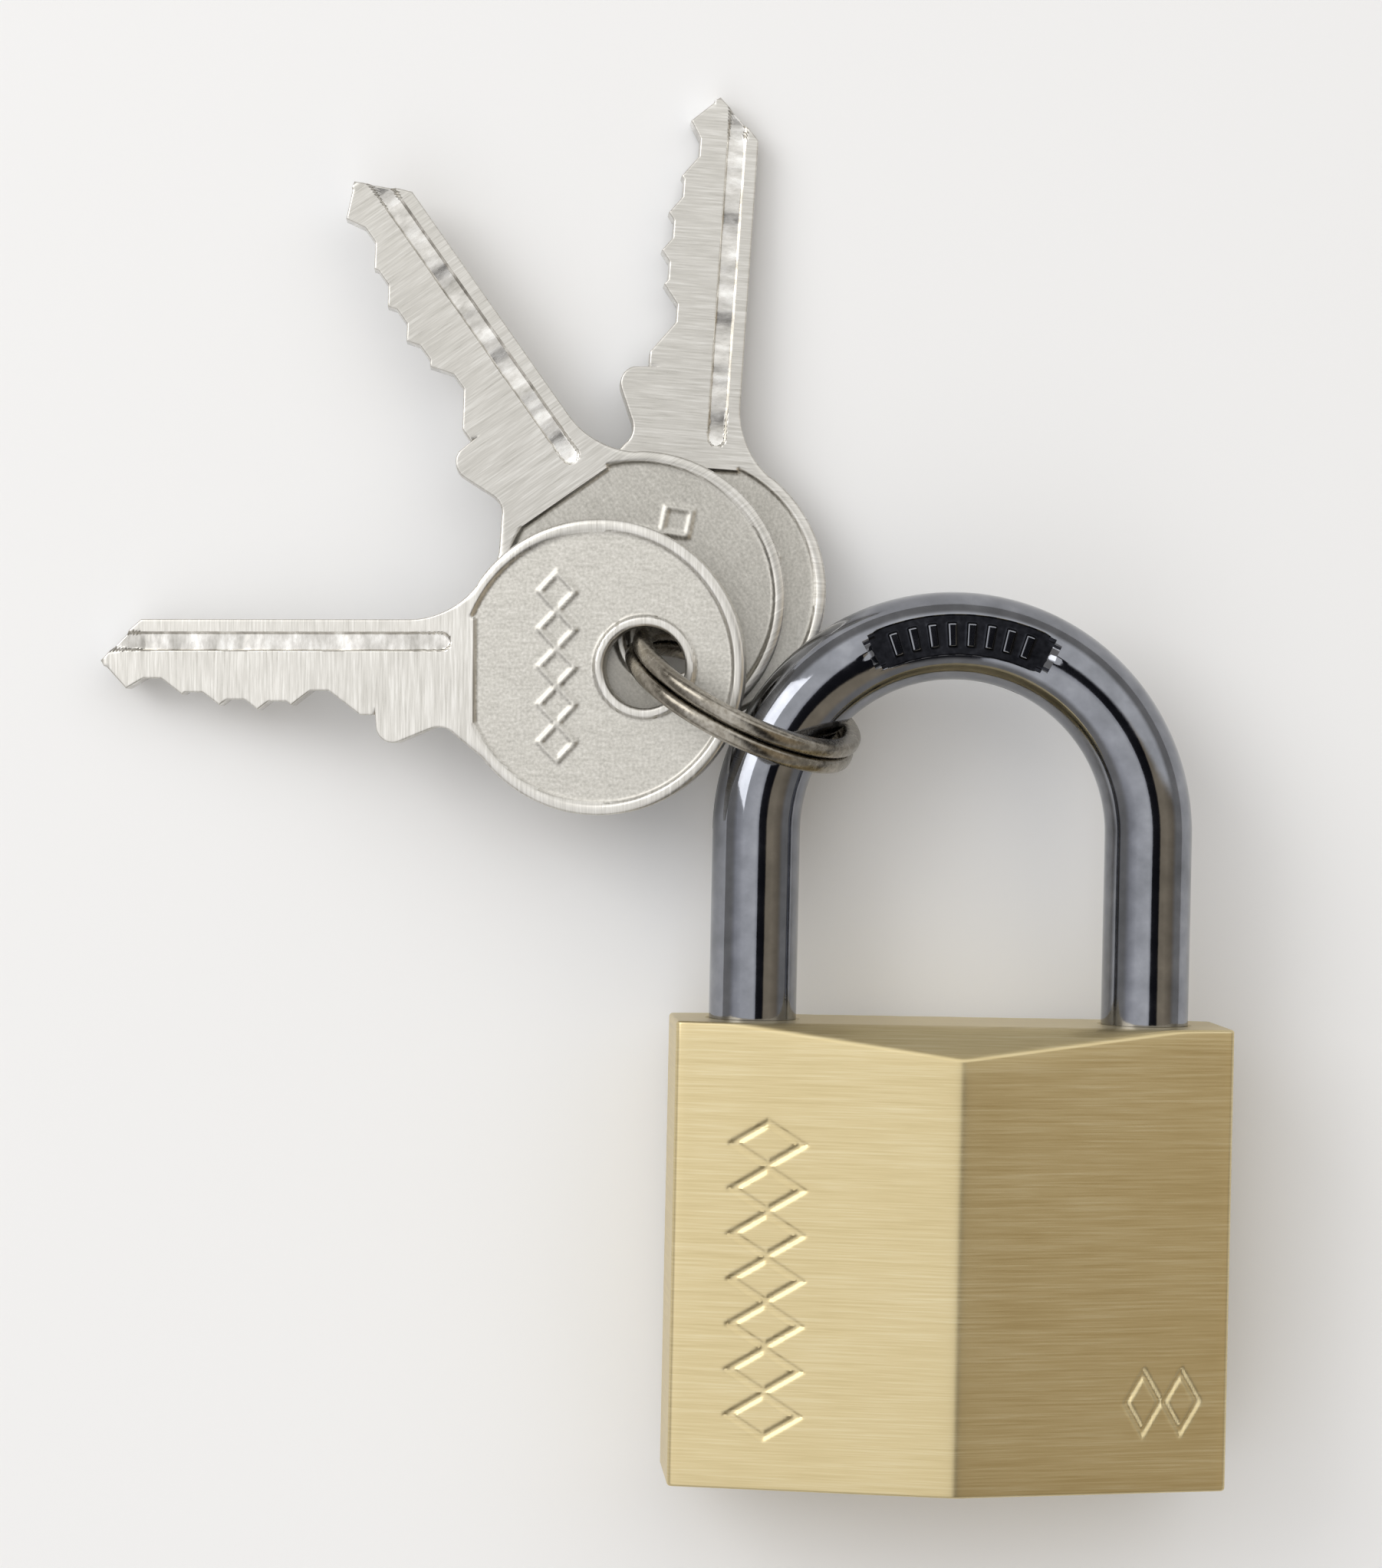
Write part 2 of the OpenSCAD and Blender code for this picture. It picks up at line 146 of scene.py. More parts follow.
# %% Colours and nodes
def linear(colour):
    """Linear RGBA of an sRGB hex colour."""
    parts = [int(colour[i : i + 2], 16) / 255 for i in (1, 3, 5)]
    return [c / 12.92 if c <= 0.04045 else ((c + 0.055) / 1.055) ** 2.4 for c in parts] + [1.0]


def add(tree, kind, settings=None, links=None):
    """A node of that kind: settings go to sockets of that name or number, or else to the node's
    own properties, and links join other nodes' outputs to its sockets."""
    node = tree.nodes.new(kind)
    for key, value in (settings or {}).items():
        if isinstance(key, int) or key in node.inputs:
            node.inputs[key].default_value = value
        else:
            setattr(node, key, value)
    for key, output in (links or {}).items():
        tree.links.new(output, node.inputs[key])
    return node


def new_material(name):
    """An empty material, its tree and its surface node."""
    made = bpy.data.materials.new(name)
    made.use_nodes = True
    made.node_tree.nodes.clear()
    surface = add(made.node_tree, "ShaderNodeBsdfPrincipled", {"Metallic": 1.0})
    add(made.node_tree, "ShaderNodeOutputMaterial", links={"Surface": surface.outputs["BSDF"]})
    return made, made.node_tree, surface


def ramp(tree, factor, stops):
    """A colour ramp with linear stops of (place, hex colour)."""
    node = add(tree, "ShaderNodeValToRGB", links={"Fac": factor})
    while len(node.color_ramp.elements) < len(stops):
        node.color_ramp.elements.new(0.5)
    for element, (place, colour) in zip(node.color_ramp.elements, stops):
        element.position = place
        element.color = linear(colour)
    return node.outputs["Color"]


# %% [markdown]
# ## Brushed metal
# Brass, nickel and steel are all ground on a belt before they are plated or sold: the belt leaves
# parallel scratches a tenth of a millimetre wide and several millimetres long. The scratches are
# a noise that is drawn out along the brushing, on the piece's own flat map, so they turn with
# the surface. They change the colour a little, the roughness more, and dent the surface.


# %% Brushed metal
scratch_share, band_share, blotch_share = 0.65, 0.2, 0.15
grain_share = 0.5


def brushed(name, stops, rough, scratch_mm, length_mm, depth_mm, along="x", blotch_mm=9.0, grain_mm=0.0):
    """Metal brushed along one way of the map: two noises stretched to the scratches' width and
    length, one coarse noise for handling marks, and an even grain where the metal was blasted."""
    made, tree, surface = new_material(name)
    place = add(tree, "ShaderNodeUVMap", {"uv_map": "brushing"}).outputs["UV"]
    across, length = 1 / scratch_mm, 1 / length_mm
    scale = (length, across, 1) if along == "x" else (across, length, 1)
    fine = add(tree, "ShaderNodeMapping", {"Scale": scale}, {"Vector": place})
    scratch = add(
        tree,
        "ShaderNodeTexNoise",
        {"Scale": 1.0, "Detail": 5.0, "Roughness": 0.62},
        {"Vector": fine.outputs["Vector"]},
    )
    broad = add(
        tree, "ShaderNodeMapping", {"Scale": tuple(0.23 * s for s in scale)}, {"Vector": place}
    )
    bands = add(
        tree, "ShaderNodeTexNoise", {"Scale": 1.0, "Detail": 2.0}, {"Vector": broad.outputs["Vector"]}
    )
    blotch = add(
        tree,
        "ShaderNodeTexNoise",
        {"Scale": 1 / blotch_mm, "Detail": 3.0, "Roughness": 0.55},
        {"Vector": place},
    )
    streaks = add(
        tree,
        "ShaderNodeMath",
        {"operation": "MULTIPLY_ADD", 1: scratch_share},
        {0: scratch.outputs["Fac"]},
    )
    share = add(
        tree, "ShaderNodeMath", {"operation": "MULTIPLY", 1: band_share}, {0: bands.outputs["Fac"]}
    )
    tree.links.new(share.outputs[0], streaks.inputs[2])
    marks = add(
        tree,
        "ShaderNodeMath",
        {"operation": "MULTIPLY_ADD", 1: blotch_share},
        {0: blotch.outputs["Fac"], 2: streaks.outputs[0]},
    )
    tone = marks.outputs[0]
    height = scratch.outputs["Fac"]
    if grain_mm:
        grain = add(
            tree, "ShaderNodeTexNoise", {"Scale": 1 / grain_mm, "Detail": 2.0}, {"Vector": place}
        )
        tone = add(
            tree,
            "ShaderNodeMath",
            {"operation": "MULTIPLY_ADD", 1: grain_share},
            {0: grain.outputs["Fac"]},
        )
        half = add(
            tree, "ShaderNodeMath", {"operation": "MULTIPLY", 1: 1 - grain_share}, {0: marks.outputs[0]}
        )
        tree.links.new(half.outputs[0], tone.inputs[2])
        tone = tone.outputs[0]
        height = grain.outputs["Fac"]
    tree.links.new(ramp(tree, tone, stops), surface.inputs["Base Color"])
    dull = add(
        tree,
        "ShaderNodeMapRange",
        {"From Min": 0.3, "From Max": 0.7, "To Min": rough[0], "To Max": rough[1]},
        {"Value": tone},
    )
    tree.links.new(dull.outputs[0], surface.inputs["Roughness"])
    dents = add(
        tree, "ShaderNodeBump", {"Strength": 0.5, "Distance": depth_mm * MM}, {"Height": height}
    )
    tree.links.new(dents.outputs["Normal"], surface.inputs["Normal"])
    return made


# Solid brass, belt-ground across the width and lacquered: pale gold with fine level lines.
satin_brass = brushed(
    "satin_brass_belt_ground",
    [(0.3, "#c3b184"), (0.5, "#d4c397"), (0.7, "#e3d6b0")],
    rough=(0.3, 0.46),
    scratch_mm=0.16,
    length_mm=7.0,
    depth_mm=0.01,
)
# Brass plated with nickel, ground across the blade: white metal with short cross lines.
ground_nickel = brushed(
    "nickel_plate_ground_across",
    [(0.3, "#b3b0a8"), (0.5, "#cfccc5"), (0.72, "#efede8")],
    rough=(0.24, 0.42),
    scratch_mm=0.14,
    length_mm=3.2,
    depth_mm=0.012,
    along="y",
)
# The same plate over a tumbled, pressed field: an even soft grain with cloudy patches.
blasted_nickel = brushed(
    "nickel_plate_tumbled",
    [(0.3, "#a5a29a"), (0.5, "#c2bfb7"), (0.7, "#dcd9d2")],
    rough=(0.34, 0.52),
    scratch_mm=0.3,
    length_mm=1.2,
    depth_mm=0.012,
    grain_mm=0.22,
    blotch_mm=3.0,
)
# Faces the cutter left bare: bright, with the tool's marks close together.
cut_nickel = brushed(
    "nickel_milled_bright",
    [(0.3, "#97948c"), (0.5, "#d3d0ca"), (0.66, "#fbfaf6")],
    rough=(0.14, 0.34),
    scratch_mm=0.9,
    length_mm=2.4,
    depth_mm=0.02,
    along="y",
)
print("brushed materials:", [m.name for m in (satin_brass, ground_nickel, blasted_nickel, cut_nickel)])

# %% [markdown]
# ## Chrome, steel and spring wire
# The shackle is hardened steel, polished and chromed. Chrome is all reflection, so its own detail
# is slight: handling smears that dull it in patches, and a skin that is never quite flat, which
# makes the reflected lights waver. The wire of the ring is duller, darker and drawn lengthways.
# Parts inside the lock are turned, so their marks run round them; a noise in three dimensions at
# the scale of a lathe's feed stands for that on the CAD nodes, which have no map of their own.


# %% Plain metals
smear_mm = 5


def turned(name, stops, rough, mark_mm, depth_mm):
    """Metal on the object's own coordinates: a fine noise for tool marks and a coarse one for
    smears, shared between colour, roughness and bump."""
    made, tree, surface = new_material(name)
    place = add(tree, "ShaderNodeTexCoord").outputs["Object"]
    scale = (1 / (mark_mm * MM),) * 3
    mapped = add(tree, "ShaderNodeMapping", {"Scale": scale}, {"Vector": place})
    fine = add(
        tree, "ShaderNodeTexNoise", {"Scale": 1.0, "Detail": 4.0}, {"Vector": mapped.outputs["Vector"]}
    )
    smear = add(
        tree,
        "ShaderNodeTexNoise",
        {"Scale": 1 / (smear_mm * MM), "Detail": 4.0, "Roughness": 0.6},
        {"Vector": place},
    )
    both = add(
        tree, "ShaderNodeMath", {"operation": "MULTIPLY_ADD", 1: 0.5}, {0: fine.outputs["Fac"]}
    )
    half = add(tree, "ShaderNodeMath", {"operation": "MULTIPLY", 1: 0.5}, {0: smear.outputs["Fac"]})
    tree.links.new(half.outputs[0], both.inputs[2])
    tree.links.new(ramp(tree, both.outputs[0], stops), surface.inputs["Base Color"])
    dull = add(
        tree,
        "ShaderNodeMapRange",
        {"From Min": 0.3, "From Max": 0.7, "To Min": rough[0], "To Max": rough[1]},
        {"Value": both.outputs[0]},
    )
    tree.links.new(dull.outputs[0], surface.inputs["Roughness"])
    dents = add(
        tree,
        "ShaderNodeBump",
        {"Strength": 0.4, "Distance": depth_mm * MM},
        {"Height": fine.outputs["Fac"]},
    )
    tree.links.new(dents.outputs["Normal"], surface.inputs["Normal"])
    return made


# Hard chrome over polished steel: a cool mirror, a little smeared.
chrome = turned(
    "chrome_plate_polished",
    [(0.3, "#74767b"), (0.55, "#8a8c92"), (0.75, "#9ea0a5")],
    rough=(0.035, 0.12),
    mark_mm=1.6,
    depth_mm=0.012,
)
# The crown's pocket is stamped before plating and is coloured near black and matt, darker than the chrome
# round it.
stamped_dark = turned(
    "chrome_in_stamped_pocket",
    [(0.3, "#15161a"), (0.6, "#2b2c31"), (0.8, "#43454b")],
    rough=(0.3, 0.5),
    mark_mm=0.4,
    depth_mm=0.02,
)
# Spring steel with a thin dull nickel: grey-brown with bright drawn lines.
dull_nickel = turned(
    "nickel_on_spring_steel",
    [(0.3, "#6d675d"), (0.5, "#918b80"), (0.7, "#b9b4aa")],
    rough=(0.16, 0.36),
    mark_mm=0.35,
    depth_mm=0.02,
)
# Brass turned on a lathe: yellow, brighter than the ground body.
turned_brass = turned(
    "brass_turned",
    [(0.3, "#a98d4d"), (0.5, "#c4a866"), (0.7, "#dcc486")],
    rough=(0.2, 0.38),
    mark_mm=0.25,
    depth_mm=0.01,
)
# Free-cutting steel, turned and left bare: mid grey with an oily sheen.
turned_steel = turned(
    "steel_turned",
    [(0.3, "#85878a"), (0.5, "#a3a5a8"), (0.7, "#c3c5c7")],
    rough=(0.22, 0.4),
    mark_mm=0.2,
    depth_mm=0.01,
)
# Drawn spring wire: darker, with a blue-grey temper.
spring_wire = turned(
    "steel_spring_wire",
    [(0.3, "#5d6168"), (0.5, "#7d8188"), (0.7, "#9da1a6")],
    rough=(0.25, 0.42),
    mark_mm=0.3,
    depth_mm=0.008,
)
print("plain metals ready")

# %% [markdown]
# ## The body's outline
# The body is a bar of brass with six sides: two flat ones where the hand grips it and, front and
# back, two facets that meet in a blunt ridge. It could be an extruded polygon with a bevel, but
# then the engraved marks would have nothing to sit in. Instead it is one fine grid: an outline
# with rounded corners, carried up from the key face to the top.

# %% Outline of the body
half_w, side_z, ridge_z, body_h = 20.0, 4.6, 8.5, 33.0
facet_slope = (ridge_z - side_z) / half_w
facet_angle = math.atan(facet_slope)
corner_r, ridge_soft, edge_r = 0.45, 0.28, 0.24
top_flat_half, bevel_slope, bevel_soft = 5.3, math.tan(math.radians(34)), 0.12
mark_step = 0.14  # millimetres between the outline's points where marks are engraved


def facet_z(x):
    """Depth of the front facets: a straight fall from the ridge, rounded there by a hyperbola."""
    return ridge_z - facet_slope * np.sqrt(x * x + ridge_soft * ridge_soft)


def top_y(z):
    """Height of the top face: level in the middle, falling at 34 degrees past the flat strip."""
    past = np.abs(z) - top_flat_half
    return body_h - bevel_slope * 0.5 * (past + np.sqrt(past * past + bevel_soft * bevel_soft))


flip_x, flip_z = np.array([-1, 1]), np.array([1, -1])


def front_chain():
    """Points and outward normals from the left side's front end over the ridge to the right
    side's: corner arc, facets, corner arc."""
    arc_x = half_w - corner_r
    touch_x = arc_x + corner_r * math.sin(facet_angle)
    arc_z = facet_z(touch_x) - corner_r * math.cos(facet_angle)
    beta = np.linspace(0, math.pi / 2 - facet_angle, 7)
    arc = np.stack([arc_x + corner_r * np.cos(beta), arc_z + corner_r * np.sin(beta)], -1)
    arc_out = np.stack([np.cos(beta), np.sin(beta)], -1)
    evenly, over_ridge = np.linspace(-19.2, 19.2, 49), np.linspace(-1.2, 1.2, 17)
    over_column, over_pair = np.arange(-16.6, -10.3, mark_step), np.arange(12.0, 18.3, mark_step)
    x = np.unique(np.round(np.concatenate([evenly, over_ridge, over_column, over_pair]), 2))
    facets = np.stack([x, facet_z(x)], -1)
    tilt = facet_slope * x / np.sqrt(x * x + ridge_soft * ridge_soft)
    facets_out = np.stack([tilt, np.ones_like(x)], -1) / np.sqrt(1 + tilt * tilt)[:, None]
    points = np.concatenate([arc * flip_x, facets, arc[::-1]])
    outwards = np.concatenate([arc_out * flip_x, facets_out, arc_out[::-1]])
    return points, outwards


side_steps = np.linspace(1, -1, 33)
front, front_out = front_chain()
between = side_steps[1:-1]
side = np.stack([np.full(len(between), half_w), front[-1, 1] * between], -1)
side_out = np.tile([1.0, 0.0], (len(between), 1))
loop = np.concatenate([front, side, front[::-1] * flip_z, side[::-1] * flip_x, front[:1]])
loop_out = np.concatenate([front_out, side_out, front_out[::-1] * flip_z, side_out * flip_x, front_out[:1]])
print("outline points:", len(loop))

# %% [markdown]
# ## Engraved marks
# The real face is engraved. Here a column of seven lozenges stands in its place on the left
# facet and two small ones low on the right, a plain pattern with no meaning. A lozenge is where
# the sum of the two scaled distances from its centre is one; the cut is deepest on that line and
# comes up smoothly on both sides, as from a round-nosed cutter.


# %% Engraved lozenges
def lozenges(x, y, centres, half_width, half_height, line):
    """How deep a mark is at each point, from 0 to 1: one within a fifth of the line of the nearest
    lozenge's outline, falling to nothing a whole line away from it."""
    off_x = np.abs(x[..., None] - centres[:, 0]) / half_width
    off_y = np.abs(y[..., None] - centres[:, 1]) / half_height
    scale = half_width * half_height / math.hypot(half_width, half_height)
    distance = np.abs(off_x + off_y - 1) * scale
    return (1 - smooth_step(0.2 * line, line, distance)).max(-1)


mark_count, mark_x, mark_low, mark_pitch = 7, -13.4, 5.3, 3.2
mark_column = np.stack([np.full(mark_count, mark_x), mark_low + mark_pitch * np.arange(mark_count)], -1)
mark_pair = np.array([[13.7, 6.5], [16.5, 6.5]])
mark_depth = 0.15


def engraving(x, y):
    """Depth in millimetres of the cut at a place on the front."""
    left = lozenges(x, y, mark_column, 2.4, 1.5, 0.34)
    right = lozenges(x, y, mark_pair, 1.25, 2.1, 0.3)
    return mark_depth * np.maximum(left, right)


# %% [markdown]
# ## The body's skin
# The wall is the outline at each height, with the last quarter of a millimetre drawn in along a
# quarter circle at both ends. The top and the key face close it: each is the front chain of
# points, slid back across to the rear chain.

# %% Skin of the body
turn = np.linspace(0, math.pi / 2, 6)
low_inset, low_rise = edge_r * (1 - np.cos(turn[::-1])), edge_r * (1 - np.sin(turn[::-1]))
# Levels of the straight wall, as shares of its height: closer together where marks are engraved.
middle = np.unique(np.concatenate([np.linspace(0, 1, 25), np.arange(0.08, 0.84, 0.005)]))[1:-1]


def wall_rows():
    """Rows of the wall: the rounded lower edge, the straight wall with its engraving, and the
    rounded upper edge that follows the bevelled top."""
    rows = []
    for inset, rise in zip(low_inset, low_rise):
        flat = loop - inset * loop_out
        rows.append(np.stack([flat[:, 0], np.full(len(flat), rise), flat[:, 1]], -1))
    bottom, top = edge_r, top_y(loop[:, 1]) - edge_r
    y = bottom + middle[:, None] * (top - bottom)
    on_front = np.zeros(len(loop))
    on_front[: len(front)] = 1
    cut = engraving(np.broadcast_to(loop[:, 0], y.shape), y) * on_front
    flat = loop - cut[..., None] * loop_out
    rows.extend(np.stack([flat[..., 0], y, flat[..., 1]], -1))
    for inset, rise in zip(low_inset[::-1], low_rise[::-1]):
        flat = loop - inset * loop_out
        rows.append(np.stack([flat[:, 0], top_y(flat[:, 1]) - rise, flat[:, 1]], -1))
    return np.array(rows)


def end_face(height):
    """The face that closes one end: the drawn-in front chain times each step from front to back."""
    chain = front - edge_r * front_out
    x = np.broadcast_to(chain[:, 0], (len(side_steps), len(chain)))
    z = side_steps[:, None] * chain[:, 1]
    return np.stack([x, height(z), z], -1)


wall = wall_rows()
round_way = np.concatenate([[0], np.cumsum(np.linalg.norm(np.diff(loop, axis=0), axis=1))])
wall_map = np.stack([np.broadcast_to(round_way, wall.shape[:2]), wall[..., 1]], -1)
key_face, top_face = end_face(np.zeros_like), end_face(top_y)
body_shell = make_piece(
    "body_shell",
    [(wall, wall_map), (key_face, key_face[..., [0, 2]]), (top_face, top_face[..., [0, 2]] + 90)],
    sharp=40,
)

# %% [markdown]
# ## Drilling the body
# Real bodies are drilled: two bores for the shackle's legs from the top, one for the plug from
# the key face, and from the right side the bolt's bore and five pin chambers, which are plugged
# afterwards. Each drill here is a profile turned about its axis, with a small countersink at the
# mouth, and Boolean modifiers take them out of the skin. That keeps the mouths crisp and round.


# %% Drills
def drill(centre, axis, profile, columns=72):
    """A closed turned solid: radii at distances along an axis, from a centre, with poles closed."""
    profile = np.array([(profile[0][0], 0.0), *profile, (profile[-1][0], 0.0)])
    angle = np.linspace(0, 2 * math.pi, columns + 1)
    angle[-1] = 0
    along = np.zeros(3)
    along[axis] = 1
    one, two = np.eye(3)[(axis + 1) % 3], np.eye(3)[(axis + 2) % 3]
    ring = np.cos(angle)[:, None] * one + np.sin(angle)[:, None] * two
    points = np.array(centre) + profile[:, 0, None, None] * along + profile[:, 1, None, None] * ring
    span = np.linspace(0, 2 * math.pi, columns + 1) * profile[:, 1].max()
    flat_map = np.stack(np.broadcast_arrays(span, profile[:, 0, None]), -1)
    return points, flat_map


def countersunk(start, end, radius, sink):
    """Profile of a bore from its mouth at start to its floor at end, widened at the mouth."""
    way = math.copysign(1, end - start)
    return [(start - way, radius + sink + 1), (start + way * sink, radius), (end, radius)]


leg_x, leg_bore = 14.25, 3.2
toe_floor, heel_floor, leg_sink = 23, 5.4, 0.22
plug_bore = countersunk(0, 22.7, 5.05, 0.3) + [(22.7, 4.0), (29.8, 4.0)]
first_drills = [
    drill((leg_x, 0, 0), 1, countersunk(body_h, toe_floor, leg_bore, leg_sink)),
    drill((-leg_x, 0, 0), 1, countersunk(body_h, heel_floor, leg_bore, leg_sink)),
    drill((0, 0, 0), 1, plug_bore),
]
pins, pin_pitch = 5, 3.1
pin_ys = 4.15 + pin_pitch * np.arange(pins)
bolt_y, bolt_bore, chamber_bore, side_sink = 27.5, 1.87, 1.31, 0.06
second_drills = [drill((0, bolt_y, 0), 0, countersunk(half_w, -14.2, bolt_bore, side_sink), 48)]
second_drills += [drill((0, y, 0), 0, countersunk(half_w, 0, chamber_bore, side_sink), 40) for y in pin_ys]
# The bores of the two cross pins, which come in from the back: the shackle's stop, the plug's.
second_drills += [
    drill((-16.9, 23.85, 0), 2, [(-9, 0.62), (2.5, 0.62)], 24),
    drill((-4.85, 21.5, 0), 2, [(-9.5, 0.57), (3, 0.57)], 24),
]


def bored(piece, drills):
    """The piece with the drills taken out, as a plain mesh again."""
    tool = make_piece("drills", drills)
    cut = piece.modifiers.new("bores", "BOOLEAN")
    cut.operation = "DIFFERENCE"
    cut.solver = "EXACT"
    cut.object = tool
    bpy.context.view_layer.update()
    made = bpy.data.meshes.new_from_object(piece.evaluated_get(bpy.context.evaluated_depsgraph_get()))
    piece.modifiers.clear()
    piece.data = made
    bpy.data.objects.remove(tool)


bored(body_shell, first_drills)
bored(body_shell, second_drills)
finish_edges(body_shell.data, 34)
body_shell.data.materials.clear()
body_shell.data.materials.append(satin_brass)
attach(body_shell, "lock")
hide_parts("lock_body")
print("body shell:", len(body_shell.data.polygons), "faces")

# %% [markdown]
# ## The shackle
# A hardened bar is bent into a bow, with a notch inside each leg for the bolts, a thin neck low
# on the heel leg and a stamped pocket on the crown. A curve with a bevel can't hold the pocket,
# so the bar is a grid: rows along the centre line, columns round the bar, closer together where
# the pocket is. Where the notch is, points are held back to its flat; where the pocket is, they
# are pushed down to its floor, and eight raised bars stand on it.

# %% Shackle
bar_r, bow_y, toe_y, foot_y = 3.15, 46.6, 23.4, 11.4
neck = (13.3, 24.5, 1.95)
notch_low, notch_high, notch_depth = 25.0, 30.0, 1.35
pocket_half, pocket_w, pocket_deep = 5.5, 1.5, 0.5
bars, bar_high = 8, 0.24
toe_chamfer, heel_chamfer = 0.8, 0.3
tiny = 1e-3  # millimetres between the two rows of a square step


def leg_rows(end_y, stops):
    """Heights along a leg from its end to the bow: the given stops with a fine step through the
    notch and a coarser one above it."""
    notch = np.arange(notch_low, notch_high, 0.2)
    return np.unique(np.concatenate([[end_y], stops, notch, np.linspace(30.4, bow_y, 18)]))


notch_stops = [notch_low + notch_depth, notch_high - tiny, notch_high + tiny]
toe_rows = leg_rows(toe_y, [toe_y + toe_chamfer] + notch_stops)
heel_stops = [foot_y + heel_chamfer, neck[0] - tiny, neck[0] + tiny, neck[1] - tiny, neck[1] + tiny]
heel_rows = leg_rows(foot_y, heel_stops + notch_stops)
bar_pitch = 2 * pocket_half / bars
crown = np.degrees(np.arange(-70, 71) * bar_pitch / 16 / leg_x)
bend = np.unique(np.concatenate([np.linspace(0, 180, 91), 90 + crown]))[1:-1]
angles = np.unique(np.concatenate([np.linspace(0, 360, 73), np.linspace(58, 122, 81)]))
angles = np.radians(angles)


def leg_radius(y, heel):
    """Radius of a leg at a height: chamfered at its end, and thinned to the neck on the heel."""
    end = foot_y if heel else toe_y
    chamfer = heel_chamfer if heel else toe_chamfer
    radius = bar_r - np.clip(chamfer - (y - end), 0, chamfer)
    if heel:
        radius = np.where((y > neck[0]) & (y < neck[1]), neck[2], radius)
    return radius


def leg_grid(y, heel):
    """A leg: circles of its radius, with the inner side held back to the notch's flat."""
    radius = leg_radius(y, heel)[:, None]
    out, up = radius * np.cos(angles), radius * np.sin(angles)
    depth = np.where(y < notch_high, np.clip(y - notch_low, 0, notch_depth), 0)[:, None]
    out = np.maximum(out, -(bar_r - depth))
    x = leg_x + out
    if heel:
        x = -x
    return np.stack([x, np.broadcast_to(y[:, None], x.shape), up], -1)


def bow_grid(degrees):
    """The bow: the bar carried round half a circle, with the pocket pressed into its front."""
    t = np.radians(degrees)[:, None]
    out, up = bar_r * np.cos(angles)[None, :], bar_r * np.sin(angles)[None, :]
    along = (t - math.pi / 2) * leg_x
    end = np.maximum(np.abs(along) - pocket_half, 0)
    inside = pocket_w - np.hypot(end, out)
    wall_share = smooth_step(0.0, 0.14, inside) * (up > 0)
    beside = np.abs(np.mod(along + bar_pitch * bars / 2, bar_pitch) - bar_pitch / 2)
    on_bar = (1 - smooth_step(0.24, 0.38, beside)) * (np.abs(along) < pocket_half)
    on_bar = on_bar * (1 - smooth_step(0.75, 0.95, np.abs(out)))
    floor = bar_r - pocket_deep + bar_high * on_bar
    up = up + wall_share * (np.minimum(floor, up) - up)
    reach = leg_x + out
    return np.stack(np.broadcast_arrays(reach * np.cos(t), bow_y + reach * np.sin(t), up), -1)


bow = bow_grid(bend)
toe, heel = leg_grid(toe_rows, False), leg_grid(heel_rows, True)
toe_end = np.broadcast_to(toe[0].mean(0) * [0, 1, 0] + [leg_x, 0, 0], toe[:1].shape)
heel_end = np.broadcast_to(heel[0].mean(0) * [0, 1, 0] + [-leg_x, 0, 0], heel[:1].shape)
shackle_rows = np.concatenate([toe_end, toe, bow, heel[::-1], heel_end])
middle_line = shackle_rows.mean(1)
length_way = np.concatenate([[0], np.cumsum(np.linalg.norm(np.diff(middle_line, axis=0), axis=1))])
shackle_map = np.stack(np.broadcast_arrays(length_way[:, None], angles * bar_r), -1)
shackle = make_piece("shackle_bar", [(shackle_rows, shackle_map)], sharp=38)


def paint(piece, materials, chooser):
    """Gives each face the material whose number the chooser returns for the faces' middles."""
    mesh = piece.data
    mesh.materials.clear()
    for material in materials:
        mesh.materials.append(material)
    middles = np.zeros(len(mesh.polygons) * 3, np.float32)
    mesh.polygons.foreach_get("center", middles)
    normals = np.zeros(len(mesh.polygons) * 3, np.float32)
    mesh.polygons.foreach_get("normal", normals)
    chosen = chooser(middles.reshape(-1, 3) / MM, normals.reshape(-1, 3))
    mesh.polygons.foreach_set("material_index", chosen.astype(np.int32))
    mesh.update()
    return np.bincount(chosen.astype(int), minlength=len(materials))


def in_pocket(middles, normals):
    """1 on the pocket's floor and walls, below the bar's own surface, and 0 elsewhere."""
    x, y, z = middles.T
    reach = np.hypot(x, y - bow_y)
    surface = np.sqrt(np.maximum(bar_r**2 - (reach - leg_x) ** 2, 0))
    bar_top = bar_r - pocket_deep + bar_high - 0.04
    return ((y > bow_y) & (z > 0) & (surface - z > 0.05) & (z < bar_top)).astype(int)


print("shackle faces, chrome and pocket:", paint(shackle, [chrome, stamped_dark], in_pocket))
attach(shackle, "shackle_body")
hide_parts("shackle")

# %% [markdown]
# ## The split ring
# A split ring is one flat-sided wire wound twice, so that a key can be threaded in between the
# turns. Halfway, the wire steps over from one layer to the other, and its two ends butt against
# that step. The CAD model has two closed rings; here the wire is carried along its true path.

# %% Split ring
ring_low, ring_high = (np.array(c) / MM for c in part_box("split_ring"))
ring_centre = (ring_low + ring_high) / 2
ring_r, wire_out, wire_wide, turn_pitch = 8.3, 1.4, 1.2, 1.25
ring_heading, ring_lean, step_turn = math.radians(-24.5), math.radians(18), math.radians(42)
turned_by = np.array(Euler((math.pi / 2 + ring_lean, 0, ring_heading), "XYZ").to_matrix())

